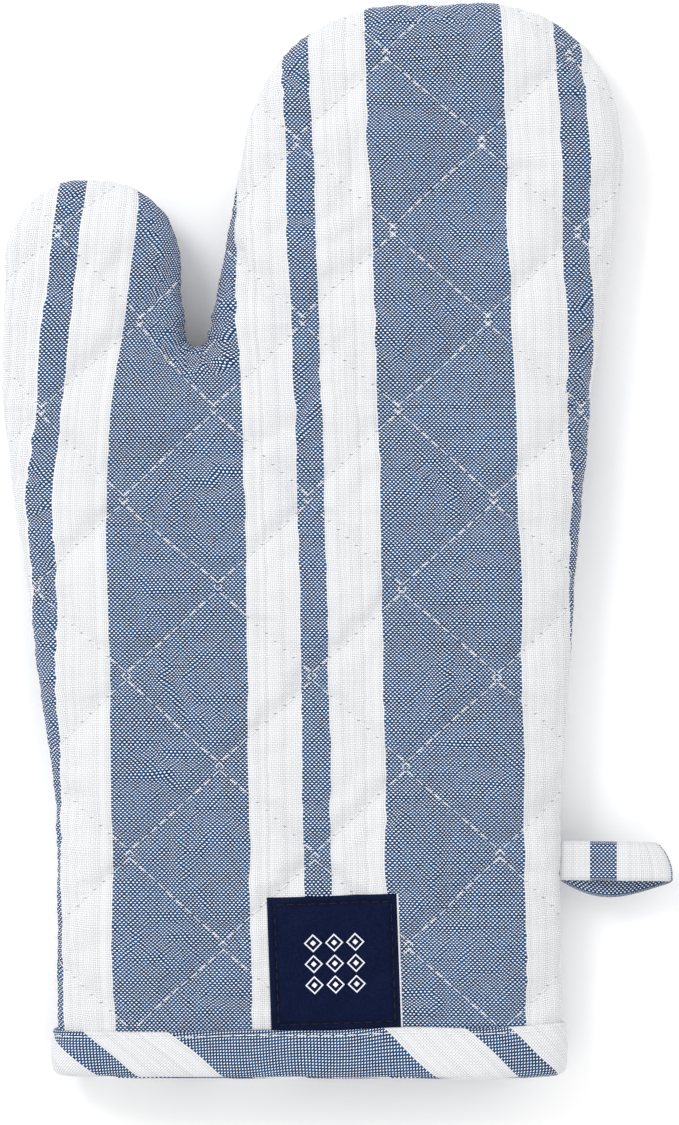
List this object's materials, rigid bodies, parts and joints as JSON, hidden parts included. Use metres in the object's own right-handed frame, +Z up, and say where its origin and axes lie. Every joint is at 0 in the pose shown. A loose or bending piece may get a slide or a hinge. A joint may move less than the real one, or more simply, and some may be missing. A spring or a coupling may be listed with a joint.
{
  "type": "oven mitt",
  "caption": "Quilted striped oven mitt with a thumb, padded front and back, a bias-bound cuff, a tape hanging loop and a small sewn-on label.",
  "frame": {"origin": "centre of the mitt's bounding box footprint, on the surface that it lies on", "axes": "+X across the palm away from the thumb, +Y from the cuff to the fingertips, +Z up out of the front panel"},
  "size_m": [0.2066, 0.3294, 0.0287],
  "materials": {
    "striped_cloth": "matte plain weave, blue stripes on off-white",
    "wadding": "fluffy cotton batting",
    "lining_cloth": "matte plain weave",
    "label_cloth": "satin weave",
    "white_thread": "twisted cotton thread",
    "dark_thread": "twisted cotton thread"
  },
  "bodies": {
    "palm": {"front_cover_palm": "striped_cloth", "front_wadding_palm": "wadding", "front_lining_palm": "lining_cloth", "front_quilting_palm": "white_thread", "front_finger_fold": "striped_cloth", "front_thumb_fold": "striped_cloth", "back_cover_palm": "striped_cloth", "back_wadding_palm": "wadding", "back_lining_palm": "lining_cloth", "back_quilting_palm": "white_thread", "back_finger_fold": "striped_cloth", "back_thumb_fold": "striped_cloth", "binding": "striped_cloth", "label": "label_cloth", "binding_stitching": "white_thread", "label_stitching": "dark_thread"},
    "fingers": {"front_cover_fingers": "striped_cloth", "front_wadding_fingers": "wadding", "front_lining_fingers": "lining_cloth", "front_quilting_fingers": "white_thread", "back_cover_fingers": "striped_cloth", "back_wadding_fingers": "wadding", "back_lining_fingers": "lining_cloth", "back_quilting_fingers": "white_thread"},
    "thumb": {"front_cover_thumb": "striped_cloth", "front_wadding_thumb": "wadding", "front_lining_thumb": "lining_cloth", "front_quilting_thumb": "white_thread", "back_cover_thumb": "striped_cloth", "back_wadding_thumb": "wadding", "back_lining_thumb": "lining_cloth", "back_quilting_thumb": "white_thread"},
    "loop": {"hanging_loop": "striped_cloth"}
  },
  "joints": [
    {"name": "finger_fold", "type": "hinge", "parent": "palm", "child": "fingers", "pos_m": [0.02, 0.0635, 0.0142], "axis": [1, 0, 0], "range_deg": [-60, 60], "stiffness_Nm_per_rad": 0.05, "deforming": ["front_finger_fold", "back_finger_fold"]},
    {"name": "thumb_fold", "type": "hinge", "parent": "palm", "child": "thumb", "pos_m": [-0.0445, 0.063, 0.0142], "axis": [0.6252, 0.7804, 0], "range_deg": [-45, 45], "stiffness_Nm_per_rad": 0.03, "deforming": ["front_thumb_fold", "back_thumb_fold"]},
    {"name": "loop_swing", "type": "hinge", "parent": "palm", "child": "loop", "pos_m": [0.0704, -0.0978, 0.0142], "axis": [0, -1, 0], "range_deg": [-80, 80], "stiffness_Nm_per_rad": 0.002}
  ]
}
